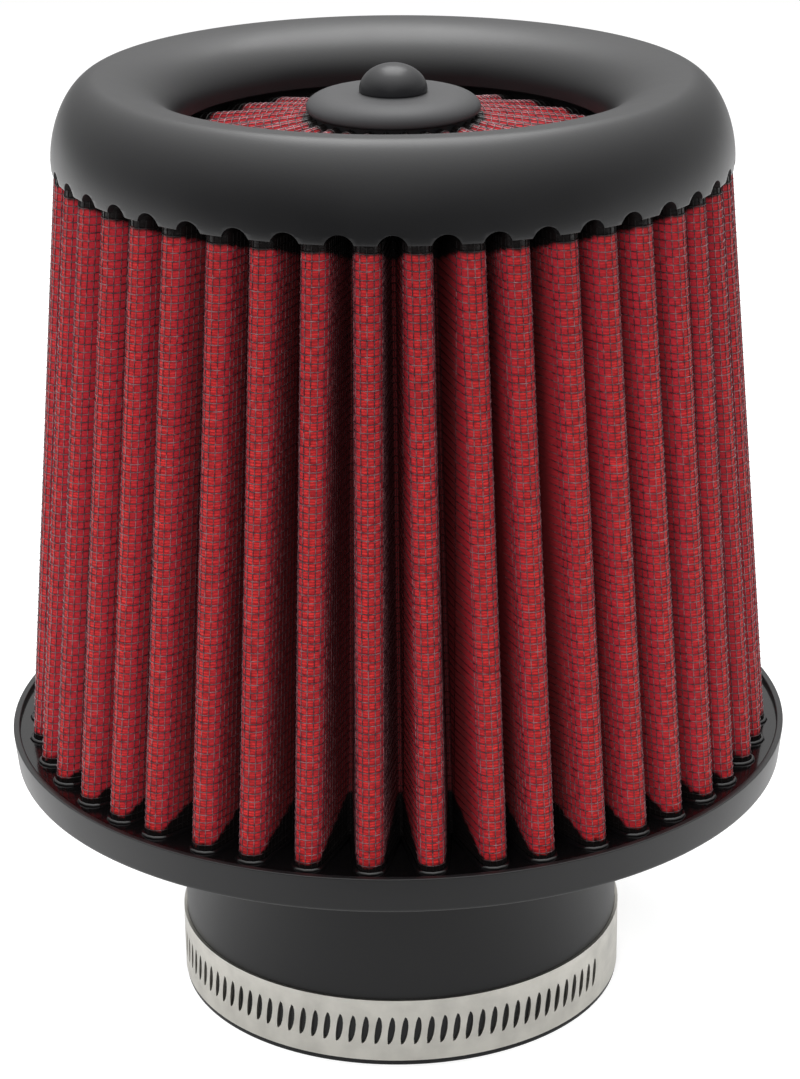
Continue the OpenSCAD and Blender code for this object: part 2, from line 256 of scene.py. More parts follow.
def remap(tree, value, fromLow, fromHigh, toLow, toHigh):
    node = addNode(tree, "ShaderNodeMapRange")
    for key, number in (("From Min", fromLow), ("From Max", fromHigh),
                        ("To Min", toLow), ("To Max", toHigh)):
        node.inputs[key].default_value = number
    tree.links.new(value, node.inputs["Value"])
    return node.outputs["Result"]


def calc(tree, operation, a, b=None, clamp=False):
    node = addNode(tree, "ShaderNodeMath", operation=operation, use_clamp=clamp)
    for socket, value in zip(node.inputs, (a, b)):
        if value is None:
            continue
        if isinstance(value, (int, float)):
            socket.default_value = value
        else:
            tree.links.new(value, socket)
    return node.outputs[0]


def blendColors(tree, factor, first, second):
    node = addNode(tree, "ShaderNodeMix", data_type="RGBA")
    tree.links.new(factor, node.inputs["Factor"])
    colors = [s for s in node.inputs if s.type == "RGBA"]
    for socket, value in zip(colors, (first, second)):
        if isinstance(value, tuple):
            socket.default_value = (*value, 1)
        else:
            tree.links.new(value, socket)
    return [s for s in node.outputs if s.type == "RGBA"][0]


def addBump(tree, shader, height, strength, distance, before=None):
    node = addNode(tree, "ShaderNodeBump")
    node.inputs["Strength"].default_value = strength
    node.inputs["Distance"].default_value = distance
    tree.links.new(height, node.inputs["Height"])
    if before is not None:
        tree.links.new(before, node.inputs["Normal"])
    tree.links.new(node.outputs["Normal"], shader.inputs["Normal"])
    return node.outputs["Normal"]


rubberLook = {
    "dark": (0.005, 0.005, 0.0055), "light": (0.009, 0.009, 0.0095),
    "roughLow": 0.36, "roughHigh": 0.44, "specular": 0.37,
    "grain": 2600, "cloud": 38,
    "grainBump": (0.25, 0.04 * mm), "cloudBump": (0.12, 0.6 * mm),
}


def rubber(name, look):
    material, tree, shader = shaderOf(name, look["dark"], look["roughLow"],
                                      specular=look["specular"])
    place = objectCoords(tree)
    cloud = noise(tree, place, look["cloud"], 4)
    grain = noise(tree, place, look["grain"], 2)
    color = blendColors(tree, cloud, look["dark"], look["light"])
    tree.links.new(color, shader.inputs["Base Color"])
    tree.links.new(remap(tree, cloud, 0.3, 0.7, look["roughLow"], look["roughHigh"]),
                   shader.inputs["Roughness"])
    first = addBump(tree, shader, grain, *look["grainBump"])
    addBump(tree, shader, cloud, *look["cloudBump"], first)
    return material


# A band gives the low and high input and what the two become
gauzeLook = {
    # Painted shade and sheen: edge is the darker, cooler colour for the crests' sides
    "red": (0.64, 0.030, 0.026), "edge": (0.47, 0.020, 0.040), "deep": (0.20, 0.007, 0.010),
    # Painted shade: the first colour below darkens the folds' depths
    "valleyShade": (0.085, 0.009, 0.010), "glueAndShade": (0.004, 0.003, 0.003),
    "rough": 0.62, "glueRough": 0.4, "specular": 0.22, "bump": (0.6, 0.2 * mm),
    "cloud": 160, "threads": (520, 520, 1700), "weft": 590,
    "weave": {"Distortion": 3.0, "Detail": 2.0, "Detail Scale": 1.5},
    "cloudBand": (0.3, 0.7, 0.35, 0), "threadBand": (0.38, 0.62, 0.8, 0),
    "weftBand": (0.15, 0.7, 0.8, 0), "crestSideShadeBand": (0.8, 0.98, 0.6, 0),
    "valleyShadeBand": (0.3, 0.97, 0.95, 0),
    "foot": 55.6 * mm, "head": 167.3 * mm, "crestFoot": 72.6 * mm, "crestHead": 62.9 * mm,
    # Painted shade: the sheet darkens upward towards the ring
    "depth": 10.5 * mm, "ringShadeFrom": 128 * mm, "ringShade": 0.42,
    "footGlue": 1.4 * mm, "headGlue": 1.6 * mm, "glueHard": 0.2 * mm, "glueSoft": 0.6 * mm,
    "depthRise": 0.55, "depthRiseFrom": 1.2 * mm, "hang": 0.6, "ragged": 700, "raggedReach": 2.2 * mm,
    "panelBand": (167 * mm, 171.5 * mm, 0.25, 0.9), "panelReach": 1.6 * mm,
    # Painted shade on the panel under the ring's lip and under the cap disc
    "lipShadeFrom": 38.7 * mm, "lipShadeTo": 39.8 * mm, "discShade": 17.2 * mm, "hubSoft": 0.5 * mm,
}


def raggedShift(tree, look, reach):
    ragged = noise(tree, objectCoords(tree), look["ragged"], 2)
    return calc(tree, "MULTIPLY", calc(tree, "SUBTRACT", ragged, 0.5), reach)


# How far a point lies in the glue-soaked end of the sheet, 0 to 1; the black reaches higher the
# deeper the point lies in a fold
def glueShare(tree, look):
    height = objectSplit(tree)["Z"]
    shift = raggedShift(tree, look, look["raggedReach"])
    back = calc(tree, "SUBTRACT", foldDepth(tree, look), look["depthRiseFrom"])
    back = calc(tree, "MULTIPLY", calc(tree, "MAXIMUM", back, 0.0), look["depthRise"])
    depthRise = calc(tree, "ADD", back, shift)
    footEdge = look["foot"] + look["footGlue"]
    headEdge = look["head"] - look["headGlue"]
    low = remap(tree, calc(tree, "SUBTRACT", height, depthRise),
                footEdge - look["glueHard"], footEdge + look["glueSoft"], 1, 0)
    high = remap(tree, calc(tree, "ADD", height, calc(tree, "MULTIPLY", depthRise, look["hang"])),
                 headEdge - look["glueSoft"], headEdge + look["glueHard"], 0, 1)
    return calc(tree, "MAXIMUM", low, high, clamp=True)


# How deep a point lies behind the tapering line of the folds' crests
def foldDepth(tree, look):
    line = remap(tree, objectSplit(tree)["Z"], look["foot"], look["head"],
                 look["crestFoot"], look["crestHead"])
    return calc(tree, "SUBTRACT", line, radiusFrom(tree))


# 1 at a fold's crest, falling with the depth behind it
def crestShare(tree, look):
    return remap(tree, foldDepth(tree, look), 0, look["depth"], 1, 0)


# The panel's folds lie flat, so there the share goes by height, and the lower parts take the
# painted valley shade
def panelShare(tree, look):
    return remap(tree, objectSplit(tree)["Z"], *look["panelBand"])


# How far a point of the panel lies in the painted shade under the ring's lip and under the cap
# disc, 0 to 1
def panelShadeShare(tree, look):
    reach = calc(tree, "ADD", radiusFrom(tree), raggedShift(tree, look, look["panelReach"]))
    outer = remap(tree, reach, look["lipShadeFrom"], look["lipShadeTo"], 0, 1)
    inner = remap(tree, reach, look["discShade"] - look["hubSoft"],
                  look["discShade"] + look["hubSoft"], 1, 0)
    return calc(tree, "MAXIMUM", outer, inner)


def gauze(name, look, share, height):
    material, tree, shader = shaderOf(name, look["red"], look["rough"], specular=look["specular"])
    cloud = noise(tree, objectCoords(tree), look["cloud"], 4, 0.6)
    thread = noise(tree, objectCoords(tree, look["threads"]), 1, 3, 0.6)
    weft = addNode(tree, "ShaderNodeTexWave", wave_type="BANDS", bands_direction="Z")
    for key, number in dict(look["weave"], Scale=look["weft"]).items():
        weft.inputs[key].default_value = number
    tree.links.new(objectCoords(tree), weft.inputs["Vector"])
    # Painted shade: the cloth darkens towards the ring above it
    ringShade = remap(tree, objectSplit(tree)["Z"], look["ringShadeFrom"], look["head"], 0, look["ringShade"])
    crest = height(tree, look)
    glueAndShadeShare = share(tree, look)
    color = look["red"]
    for factor, over in (
        (remap(tree, cloud, *look["cloudBand"]), "deep"),
        (remap(tree, thread, *look["threadBand"]), "deep"),
        (remap(tree, weft.outputs["Fac"], *look["weftBand"]), "deep"),
        (ringShade, "deep"),
        # Painted shade and a cool painted sheen on the crests' sides
        (remap(tree, crest, *look["crestSideShadeBand"]), "edge"),
        # Painted shade: the sheet darkens with the depth behind the crests
        (remap(tree, crest, *look["valleyShadeBand"]), "valleyShade"),
        # Black glue at the element's ends, painted shade on the panel
        (glueAndShadeShare, "glueAndShade"),
    ):
        color = blendColors(tree, factor, color, look[over])
    tree.links.new(remap(tree, glueAndShadeShare, 0, 1, look["rough"], look["glueRough"]),
                   shader.inputs["Roughness"])
    tree.links.new(color, shader.inputs["Base Color"])
    addBump(tree, shader, thread, *look["bump"])
    return material


wireLook = {
    "bright": (0.25, 0.11, 0.12), "dull": (0.055, 0.018, 0.024), "glueAndShade": (0.006, 0.005, 0.005),
    # Painted shade: the first colour below darkens the wires deep in the folds
    "deep": (0.03, 0.005, 0.006), "rough": 0.42, "metal": 0.25, "cloud": 900,
    "brightBand": (0.42, 0.66, 0, 1), "wireValleyShadeBand": (0.1, 0.85, 0.92, 0),
    "roughBand": (0.3, 0.7, 0.45, 0.3),
}


def wireMetal(name, look, share, height):
    material, tree, shader = shaderOf(name, look["bright"], look["rough"], metallic=look["metal"])
    cloud = noise(tree, objectCoords(tree), look["cloud"], 3, 0.6)
    color = blendColors(tree, remap(tree, cloud, *look["brightBand"]), look["dull"], look["bright"])
    # Painted shade: the wires darken deep in the folds
    deep = remap(tree, height(tree, gauzeLook), *look["wireValleyShadeBand"])
    color = blendColors(tree, deep, color, look["deep"])
    color = blendColors(tree, share(tree, gauzeLook), color, look["glueAndShade"])
    tree.links.new(color, shader.inputs["Base Color"])
    tree.links.new(remap(tree, cloud, *look["roughBand"]), shader.inputs["Roughness"])
    return material


resinLook = {
    "color": (0.0035, 0.003, 0.0033), "rough": 0.12, "specular": 0.4, "wave": 60,
    "roughBand": (0.3, 0.7, 0.08, 0.2), "bump": (0.35, 1 * mm),
}


def potting(name, look):
    material, tree, shader = shaderOf(name, look["color"], look["rough"],
                                      specular=look["specular"])
    wave = noise(tree, objectCoords(tree), look["wave"], 2)
    tree.links.new(remap(tree, wave, *look["roughBand"]), shader.inputs["Roughness"])
    addBump(tree, shader, wave, *look["bump"])
    return material


steelLook = {
    "color": (0.76, 0.74, 0.68), "dull": 0.82, "rough": 0.34, "smoother": 0.06, "rougher": 0.1,
    "lines": (60, 60, 4200), "spots": 180, "bump": (0.1, 0.03 * mm),
}


# Steel strip whose fine lines run round the neck
def bandSteel(name, look):
    material, tree, shader = shaderOf(name, look["color"], look["rough"], metallic=1.0)
    lines = noise(tree, objectCoords(tree, look["lines"]), 1, 4, 0.6)
    spots = noise(tree, objectCoords(tree), look["spots"], 3)
    rough = remap(tree, lines, 0.3, 0.7,
                  look["rough"] - look["smoother"], look["rough"] + look["rougher"])
    tree.links.new(rough, shader.inputs["Roughness"])
    dull = tuple(c * look["dull"] for c in look["color"])
    tree.links.new(blendColors(tree, remap(tree, spots, 0.35, 0.7, 0, 1), look["color"], dull),
                   shader.inputs["Base Color"])
    addBump(tree, shader, lines, *look["bump"])
    return material


print("materials")
mouldedRubber = rubber("mouldedRubber", rubberLook)
capRubber = rubber("capRubber", dict(
    rubberLook, dark=(0.028, 0.028, 0.029), light=(0.045, 0.045, 0.047),
    specular=0.32, roughLow=0.5, roughHigh=0.62))
plugRubber = rubber("plugRubber", dict(
    rubberLook, dark=(0.008, 0.008, 0.009), light=(0.014, 0.014, 0.015),
    specular=0.28, roughLow=0.3, roughHigh=0.38))
redGauze = gauze("redGauze", gauzeLook, glueShare, crestShare)
panelGauze = gauze("panelGauze", dict(gauzeLook, ringShade=0), panelShadeShare, panelShare)
screenWire = wireMetal("screenWire", wireLook, glueShare, crestShare)
panelWire = wireMetal("panelWire", wireLook, panelShadeShare, panelShare)
pottingResin = potting("pottingResin", resinLook)
stripSteel = bandSteel("stripSteel", steelLook)
screwSteel = bandSteel("screwSteel", dict(steelLook, rough=0.26))


# The folded element and its wire screens

element = {
    "foot": 55.6 * mm, "head": 167.3 * mm, "sink": 0.24 * mm, "wire": 0.11 * mm,
    "hoopDepth": 0.11 * mm, "uprightDepth": 0.22 * mm, "bead": 0.6 * mm,
    "rows": 76, "flankCuts": 9, "flank": 6 * mm,
    "near": 0.1 * mm, "clear": 0.5 * mm, "tall": 1 * mm, "outermost": 0.3 * mm,
}


# The outer of a folded sheet's two skins, as quads, with its ends and the other skin cut away
def outerSkin(node, name, keepFace, seed):
    skin = copyOfNode(node, name)
    edit(skin, "FACE")
    chooseFaces(skin, lambda c, n: not keepFace(c, n))
    bpy.ops.mesh.delete(type="FACE")
    selectMesh()
    bpy.ops.mesh.tris_convert_to_quads(face_threshold=math.radians(60),
                                       shape_threshold=math.radians(179))
    chooseVerts(skin, seed)
    bpy.ops.mesh.select_linked()
    bpy.ops.mesh.select_all(action="INVERT")
    bpy.ops.mesh.delete(type="VERT")
    leaveEdit()
    return skin


# Takes the chosen edges out of a skin as wires of their own
def drawWires(skin, name, test, radius, roundness=0):
    edit(skin, "EDGE")
    count = chooseEdges(skin, test)
    bpy.ops.mesh.duplicate()
    bpy.ops.mesh.separate(type="SELECTED")
    leaveEdit()
    wires = [o for o in bpy.context.selected_objects if o is not skin][0]
    pick(wires)
    bpy.ops.object.convert(target="CURVE")
    wires = activeObject()
    wires.data.bevel_depth = radius
    wires.data.bevel_resolution = roundness
    wires.data.use_fill_caps = True
    bpy.ops.object.convert(target="MESH")
    wires = activeObject()
    nameAs(wires, name)
    bpy.ops.object.shade_smooth()
    print(name, "edges", count, "triangles", len(wires.data.polygons) * 2)
    return wires


print("element")
pleat = {"count": 44, "wander": 0.08, "topTurn": 0.12}
pleat["phase"] = (180 + pleat["topTurn"] * 360) / pleat["count"] - 90


# The same uneven fold spacing as the solid element has
def foldAngle(k):
    uneven = 0.6 * math.sin(math.radians((k % pleat["count"]) * 137)) \
        + 0.4 * math.sin(math.radians((k % pleat["count"]) * 61 + 40))
    return (k + pleat["wander"] * uneven) * 360 / pleat["count"]


def isElementSide(c, n):
    low, high = element["foot"] - element["near"], element["head"] + element["near"]
    return low < c.z < high and abs(n.z) < 0.5


crestEdge = max(radiusOf(v.co) for v in frame["nodes"]["pleated_media"].data.vertices)
skin = outerSkin("pleated_media", "elementSkin", isElementSide,
                 lambda p: radiusOf(p) > crestEdge - element["outermost"])


def isUpright(a, b):
    return abs(a.z - b.z) > element["tall"]


def isHoop(a, b):
    low, high = element["foot"] + element["clear"], element["head"] - element["clear"]
    return abs(a.z - b.z) < element["near"] and low < a.z < high


def isFoot(a, b):
    return max(a.z, b.z) < element["foot"] + element["near"]


# Potting drawn up round the pleats' feet
meniscus = drawWires(skin, "meniscus", isFoot, element["bead"], 1)
finishPiece(meniscus, pottingResin, "filter", "potting")

sinkSurface(skin, element["hoopDepth"])
rowSkin = duplicateOf(skin)
splitEdges(rowSkin, isUpright, element["rows"])
middle = (element["foot"] + element["head"]) / 2
for name, low, high in (("screenHoopsLow", 0, middle), ("screenHoopsHigh", middle, 1)):
    hoops = drawWires(rowSkin, name, lambda a, b: isHoop(a, b) and low <= a.z < high,
                      element["wire"])
    finishPiece(hoops, screenWire, "filter", "element")
bpy.data.objects.remove(rowSkin)

sinkSurface(skin, element["uprightDepth"] - element["hoopDepth"])
splitEdges(skin, lambda a, b: not isUpright(a, b) and (a - b).length > element["flank"],
           element["flankCuts"])
uprights = drawWires(skin, "screenUprights", isUpright, element["wire"])
finishPiece(uprights, screenWire, "filter", "element")
bpy.data.objects.remove(skin)

sheet = copyOfNode("pleated_media", "gauzeSheet")
sinkSurface(sheet, element["sink"])
smooth(sheet, sheetCrease)
finishPiece(sheet, redGauze, "filter", "element", "pleated_media")


# The top panel and its screen

panel = {
    "out": 44.6 * mm, "hub": 15.35 * mm, "sink": 0.3 * mm, "wire": 0.13 * mm,
    "hoopDepth": 0.12 * mm, "radialDepth": 0.24 * mm, "rows": 19, "flankCuts": 5, "flank": 4 * mm,
    "hoopOut": 44.4 * mm, "hoopIn": 15.8 * mm, "long": 0.5 * mm, "topmost": 0.05 * mm,
}

print("top panel")


def isPanelFace(c, n):
    return panel["hub"] < radiusOf(c) < panel["out"]


panelTop = max(v.co.z for v in frame["nodes"]["top_pleats"].data.vertices)
panelSkin = outerSkin("top_pleats", "panelSkin", isPanelFace,
                      lambda p: p.z > panelTop - panel["topmost"])


def isRadial(a, b):
    return abs(radiusOf(a) - radiusOf(b)) > panel["long"]


def isPanelHoop(a, b):
    return not isRadial(a, b) and panel["hoopIn"] < radiusOf(a) < panel["hoopOut"]


sinkSurface(panelSkin, panel["hoopDepth"])
panelRows = duplicateOf(panelSkin)
splitEdges(panelRows, isRadial, panel["rows"])
panelHoops = drawWires(panelRows, "panelHoops", isPanelHoop, panel["wire"])
finishPiece(panelHoops, panelWire, "filter", "element")
bpy.data.objects.remove(panelRows)

sinkSurface(panelSkin, panel["radialDepth"] - panel["hoopDepth"])
splitEdges(panelSkin, lambda a, b: not isRadial(a, b) and (a - b).length > panel["flank"],
           panel["flankCuts"])
panelRadials = drawWires(panelSkin, "panelRadials", isRadial, panel["wire"])
finishPiece(panelRadials, panelWire, "filter", "element")
bpy.data.objects.remove(panelSkin)

panelSheet = copyOfNode("top_pleats", "panelSheet")
sinkSurface(panelSheet, panel["sink"])
smooth(panelSheet, sheetCrease)
finishPiece(panelSheet, panelGauze, "filter", "element", "top_pleats")


# Turned pieces

def arc(cx, cz, rx, rz, fromAngle, toAngle, steps, power=2.0):
    points = []
    for i in range(steps + 1):
        a = math.radians(fromAngle + (toAngle - fromAngle) * i / steps)
        c, s = math.cos(a), math.sin(a)
        points.append((cx + rx * math.copysign(abs(c) ** (2 / power), c),
                       cz + rz * math.copysign(abs(s) ** (2 / power), s)))
    return points


# A section in millimetres is drawn point by point and spun round the axis
def turn(name, section, steps=176, closed=True):
    deselectAll()
    points = [Vector((r * mm, 0, z * mm)) for r, z in section]
    bpy.ops.mesh.primitive_plane_add(size=mm, location=points[0])
    piece = activeObject()
    nameAs(piece, name)
    bpy.ops.object.transform_apply(location=True, rotation=True, scale=True)
    edit(piece)
    selectMesh()
    bpy.ops.mesh.merge(type="CENTER")
    last = points[0]
    for point in points[1:] + ([points[0]] if closed else []):
        bpy.ops.mesh.extrude_region_move(TRANSFORM_OT_translate={"value": point - last})
        last = point
    selectMesh()
    bpy.ops.mesh.remove_doubles(threshold=weld)
    selectMesh()
    bpy.ops.mesh.spin(steps=steps, angle=math.tau, center=(0, 0, 0), axis=(0, 0, 1))
    selectMesh()
    bpy.ops.mesh.remove_doubles(threshold=2 * weld)
    selectMesh()
    bpy.ops.mesh.normals_make_consistent(inside=False)
    leaveEdit()
    return piece


base = {
    "bore": 38.1, "throat": 36.5, "neck": 43.6, "chamfer": 0.8, "lipOut": 44.1, "lipTop": 1.0,
    "fillet": 3.0, "neckTop": 49.5, "top": 56.6, "foot": 75.6, "rim": 76.2, "edge": 1.1,
    "channelOut": 74.9, "channelIn": 54.0, "channel": 51.9, "mouth": 51.8,
    "stop": 44.0, "stopTop": 46.0,
    "lipRound": 0.3, "rimRound": 0.25, "channelRound": 0.3, "innerRound": 0.5,
}

print("base")
b = base
lr, rr, cr, ir = b["lipRound"], b["rimRound"], b["channelRound"], b["innerRound"]
baseSection = (
    [(b["bore"] + b["chamfer"], 0), (b["lipOut"] - lr, 0)]
    + arc(b["lipOut"] - lr, lr, lr, lr, -90, 0, 3)[1:]
    + arc(b["lipOut"] - lr, b["lipTop"] - lr, lr, lr, 0, 90, 3)
    + [(b["neck"], b["lipTop"])]
    + arc(b["neck"] + b["fillet"], b["neckTop"] - b["fillet"],
          b["fillet"], b["fillet"], 180, 90, 14)
    + arc(b["foot"] - b["edge"], b["neckTop"] + b["edge"], b["edge"], b["edge"], -90, 0, 7)
    + arc(b["rim"] - rr, b["top"] - rr, rr, rr, 0, 90, 5)
    + arc(b["channelOut"] + cr, b["top"] - cr, cr, cr, 90, 180, 5)
    + [(b["channelOut"], b["channel"]), (b["channelIn"], b["channel"])]
    + arc(b["channelIn"] - ir, b["top"] - ir, ir, ir, 0, 90, 5)
    + arc(b["mouth"], b["stopTop"], b["mouth"] - b["throat"], b["top"] - b["stopTop"], 90, 180, 24)
    + [(b["throat"], b["stop"]), (b["bore"], b["stop"]), (b["bore"], b["chamfer"])]
)
baseMoulding = turn("baseMoulding", baseSection)
smooth(baseMoulding, turnedCrease)
finishPiece(baseMoulding, mouldedRubber, "filter", "moulded_rubber", "base_flange")


ring = {
    "foot": 167.3, "out": 63.3, "footOut": 63.1, "footHigh": 1.6,
    "crown": 54.7, "high": 16.4, "power": 1.82,
    "lip": 40.2, "lipTop": 174.3, "lipUnder": 172.6, "lipChamfer": 0.3,
    "wall": 44.85, "ledge": 160.55, "ledgeWide": 2.4, "skirt": 158.95, "skirtOut": 46.05,
    "notch": 2.7, "notchHigh": 1.9, "notchIn": 1.6, "notchOut": 4, "soften": 0.28, "sharp": 50,
}

print("top ring")
r = ring
shoulder = r["foot"] + r["footHigh"]
ledgeIn = r["wall"] - r["ledgeWide"]
ringSection = (
    arc(r["footOut"], shoulder, r["out"] - r["footOut"], r["footHigh"], -90, -10, 6)
    + arc(r["crown"], shoulder, r["out"] - r["crown"], r["high"] - r["footHigh"],
          0, 90, 36, r["power"])
    + arc(r["crown"], r["lipTop"], r["crown"] - r["lip"], r["foot"] + r["high"] - r["lipTop"],
          90, 180, 40)[1:]
    + [(r["lip"], r["lipUnder"] + r["lipChamfer"]), (r["lip"] + r["lipChamfer"], r["lipUnder"]),
       (r["wall"], r["lipUnder"]), (r["wall"], r["ledge"]), (ledgeIn, r["ledge"]),
       (ledgeIn, r["skirt"]), (r["skirtOut"], r["skirt"]), (r["skirtOut"], r["foot"])]
)
ringMoulding = turn("ringMoulding", ringSection, 264)

start, end = (r["skirtOut"] + r["notchIn"]) * mm, (r["out"] + r["notchOut"]) * mm
middle = (start + end) / 2
notchZ = (r["foot"] + r["notchHigh"] - r["notch"]) * mm
cutters = []
for k in range(pleat["count"]):
    angle = math.radians((foldAngle(k) + foldAngle(k + 1)) / 2 + pleat["phase"])
    deselectAll()
    bpy.ops.mesh.primitive_cylinder_add(
        vertices=28, radius=r["notch"] * mm, depth=end - start,
        location=(middle * math.cos(angle), middle * math.sin(angle), notchZ),
        rotation=(0, math.pi / 2, angle))
    cutters.append(activeObject())
deselectAll()
for cutter in cutters:
    cutter.select_set(True)
bpy.ops.object.join()
cutWith(ringMoulding, activeObject(), "DIFFERENCE")
roundEdges(ringMoulding, r["soften"], r["sharp"])
smooth(ringMoulding, turnedCrease)
finishPiece(ringMoulding, mouldedRubber, "filter", "moulded_rubber", "top_ring")


cap = {
    "out": 16.2, "bottom": 176.1, "top": 179.85, "hub": 15.2, "hubBottom": 164.9, "hole": 3.05,
    "over": 5.6, "overHigh": 2.75, "under": 1.0, "shadeTo": 0.02,
}

print("centre cap")
c = cap
capSection = (
    [(c["hole"], c["hubBottom"]), (c["hub"], c["hubBottom"]), (c["hub"], c["bottom"])]
    + arc(c["out"] - c["under"], c["bottom"] + c["under"], c["under"], c["under"], -90, 0, 8)
    + arc(c["out"] - c["over"], c["top"] - c["overHigh"], c["over"], c["overHigh"], 0, 90, 18)[1:]
    + [(c["hole"], c["top"])]
)
capDisc = turn("capDisc", capSection, 96)
smooth(capDisc, turnedCrease)
finishPiece(capDisc, capRubber, "filter", "cap_rubber", "centre_cap")
# The underside and the hub take the darker rubber: painted shade under the disc
capDisc.data.materials.append(mouldedRubber)
for p in capDisc.data.polygons:
    p.material_index = int(p.center.z < (c["bottom"] + c["shadeTo"]) * mm)

plug = {
    "out": 6.35, "high": 5.3, "edge": 0.35,
    "stem": 3.0, "barb": 3.8, "barbBottom": 162.5, "barbTop": 164.85, "taper": 0.4,
}

print("centre plug")
u = plug
plugSection = (
    [(0, u["barbBottom"]), (u["stem"] - u["taper"], u["barbBottom"]),
     (u["barb"], u["barbTop"] - u["taper"]), (u["barb"], u["barbTop"]),
     (u["stem"], u["barbTop"]), (u["stem"], c["top"])]
    + arc(u["out"] - u["edge"], c["top"] + u["edge"], u["edge"], u["edge"], -90, 0, 4)
    + arc(0, c["top"] + u["edge"], u["out"], u["high"] - u["edge"], 0, 90, 22)[1:]
)
plugDome = turn("plugDome", plugSection, 72, closed=False)
smooth(plugDome, turnedCrease)
finishPiece(plugDome, plugRubber, "filter", "plug_rubber", "centre_plug")


# The clamp's screw and housing

screw = {
    "axisY": 49.75, "axisZ": 7.6, "nose": 2.2, "noseEnd": -8.1, "noseRound": 0.3,
    "root": 2.75, "crest": 3.75, "half": 6.5, "journal": 2.6,
    "collar": 4.4, "collarFrom": 7.6, "collarRound": 0.15,
    "headFrom": 8.6, "headEnd": 14.1, "across": 8.0, "joinDeep": 0.2,
    "chamferHigh": 2.45, "chamferIn": 0.35, "slot": 1.3, "slotDeep": 2.6, "slotOver": 1,
    "pitch": 2.5, "flank": 0.85, "land": 0.25, "threadHalf": 5.6, "threadSunk": 0.15,
    "round": 0.1, "sharp": 50,
}

print("clamp screw")
s = screw


# Lays a piece that was made upright along the screw's axis
def layOnScrew(piece):
    pick(piece)
    piece.rotation_euler = (0, math.pi / 2, 0)
    piece.location = (0, s["axisY"] * mm, s["axisZ"] * mm)
    bpy.ops.object.transform_apply(location=True, rotation=True, scale=True)


half, cr = s["half"], s["collarRound"]
shaftSection = [
    (0, s["noseEnd"]), (s["nose"] - s["noseRound"], s["noseEnd"]),
    (s["nose"], s["noseEnd"] + s["noseRound"]), (s["nose"], -half),
    (s["root"], -half), (s["root"], half), (s["journal"], half), (s["journal"], s["collarFrom"]),
    (s["collar"] - cr, s["collarFrom"]), (s["collar"], s["collarFrom"] + cr),
    (s["collar"], s["headFrom"] - cr), (s["collar"] - cr, s["headFrom"]), (0, s["headFrom"]),
]
screwShaft = turn("screwShaft", shaftSection, 48, closed=False)
deselectAll()
bpy.ops.mesh.primitive_cylinder_add(
    vertices=6, radius=s["across"] / 2 / math.cos(math.radians(30)) * mm,
    depth=(s["headEnd"] - s["headFrom"] + s["joinDeep"]) * mm,
    location=(0, 0, (s["headFrom"] - s["joinDeep"] + s["headEnd"]) / 2 * mm),
    rotation=(0, 0, math.radians(30)))
screwHead = activeObject()
chamferSection = [
    (0, s["headFrom"] - 1), (s["across"], s["headFrom"] - 1),
    (s["across"], s["headEnd"] - s["chamferHigh"]),
    (s["across"] / 2 - s["chamferIn"], s["headEnd"]), (0, s["headEnd"]),
]
cutWith(screwHead, turn("chamferTool", chamferSection, 48, closed=False), "INTERSECT")
deselectAll()
slotMiddle = s["headEnd"] - s["slotDeep"] / 2 + s["slotOver"] / 2
bpy.ops.mesh.primitive_cube_add(size=1, location=(0, 0, slotMiddle * mm))
slotTool = activeObject()
slotTool.scale = (3 * s["across"] * mm, s["slot"] * mm, (s["slotDeep"] + s["slotOver"]) * mm)
bpy.ops.object.transform_apply(location=True, rotation=True, scale=True)
cutWith(screwHead, slotTool, "DIFFERENCE")
cutWith(screwShaft, screwHead, "UNION")
roundEdges(screwShaft, s["round"], s["sharp"])
layOnScrew(screwShaft)
smooth(screwShaft, turnedCrease)
finishPiece(screwShaft, screwSteel, "screw", "screw_steel", "clamp_screw")

# The thread's section is drawn once and wound up the root
deselectAll()
bpy.ops.mesh.primitive_plane_add(size=2 * mm)
screwThread = activeObject()
nameAs(screwThread, "screwThread")
edit(screwThread)
selectMesh()
bpy.ops.mesh.delete(type="ONLY_FACE")
leaveEdit()
for v in screwThread.data.vertices:
    inner = v.co.x < 0
    rise = s["flank"] if inner else s["land"]
    v.co = Vector(((s["root"] - s["threadSunk"] if inner else s["crest"]) * mm, 0,
                   (-s["threadHalf"] + math.copysign(rise, v.co.y)) * mm))
wind = screwThread.modifiers.new("wind", "SCREW")
wind.axis = "Z"
wind.angle = math.tau * 2 * s["threadHalf"] / s["pitch"]
wind.screw_offset = 2 * s["threadHalf"] * mm
wind.steps = 144
wind.render_steps = 144
bpy.ops.object.modifier_apply(modifier="wind")
edit(screwThread)
selectMesh()
bpy.ops.mesh.fill_holes(sides=4)
selectMesh()
bpy.ops.mesh.normals_make_consistent(inside=False)
leaveEdit()
layOnScrew(screwThread)
smooth(screwThread, turnedCrease)
finishPiece(screwThread, screwSteel, "screw", "screw_steel")

housing = {"flat": 0.5, "round": 0.12, "sharp": 60}

print("clamp housing")
housingShell = copyOfNode("clamp_housing", "housingShell")
edit(housingShell, "FACE")
selectMesh()
bpy.ops.mesh.dissolve_limited(angle_limit=math.radians(housing["flat"]))
leaveEdit()
roundEdges(housingShell, housing["round"], housing["sharp"])
smooth(housingShell, turnedCrease)
finishPiece(housingShell, stripSteel, "filter", "housing_steel", "clamp_housing")


# The solids that keep their shape

for node, material in (("base_potting", pottingResin), ("clamp_band", stripSteel)):
    solid = frame["nodes"][node]
    for spot in solid.material_slots:
        spot.material = material


# Floor, light and camera

